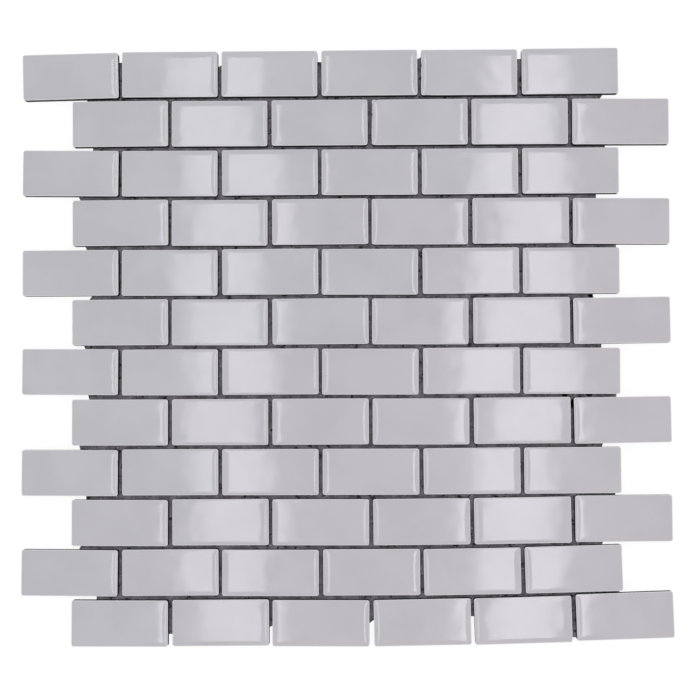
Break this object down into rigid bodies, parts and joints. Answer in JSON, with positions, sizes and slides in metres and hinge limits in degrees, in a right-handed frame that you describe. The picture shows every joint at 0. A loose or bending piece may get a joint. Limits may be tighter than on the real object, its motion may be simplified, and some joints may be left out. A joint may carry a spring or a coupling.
{
  "type": "mosaic tile sheet",
  "caption": "Mesh-mounted sheet of small glazed ceramic brick tiles in a running bond, with open joints, stepped sides and a glued glass-fibre net on the back.",
  "frame": {"origin": "on the floor under the middle of the tile field, the back of the net at height 0", "axes": "+X along the rows, +Y towards the top row, +Z out of the glazed face"},
  "size_m": [0.3223, 0.296, 0.0068],
  "materials": {
    "glazed_tile": "gloss",
    "adhesive": "matte",
    "net": "matte"
  },
  "bodies": {
    "root": {"tile_row_01": "glazed_tile", "tile_row_02": "glazed_tile", "tile_row_03": "glazed_tile", "tile_row_04": "glazed_tile", "tile_row_05": "glazed_tile", "tile_row_06": "glazed_tile", "tile_row_07": "glazed_tile", "tile_row_08": "glazed_tile", "tile_row_09": "glazed_tile", "tile_row_10": "glazed_tile", "tile_row_11": "glazed_tile", "tile_row_12": "glazed_tile", "adhesive_film": "adhesive", "backing_net_01": "net", "backing_net_02": "net", "backing_net_03": "net", "backing_net_04": "net", "backing_net_05": "net", "backing_net_06": "net", "backing_net_07": "net", "backing_net_08": "net", "backing_net_09": "net", "backing_net_10": "net", "backing_net_11": "net", "backing_net_12": "net", "backing_net_13": "net", "backing_net_14": "net", "backing_net_15": "net", "backing_net_16": "net"}
  },
  "joints": []
}
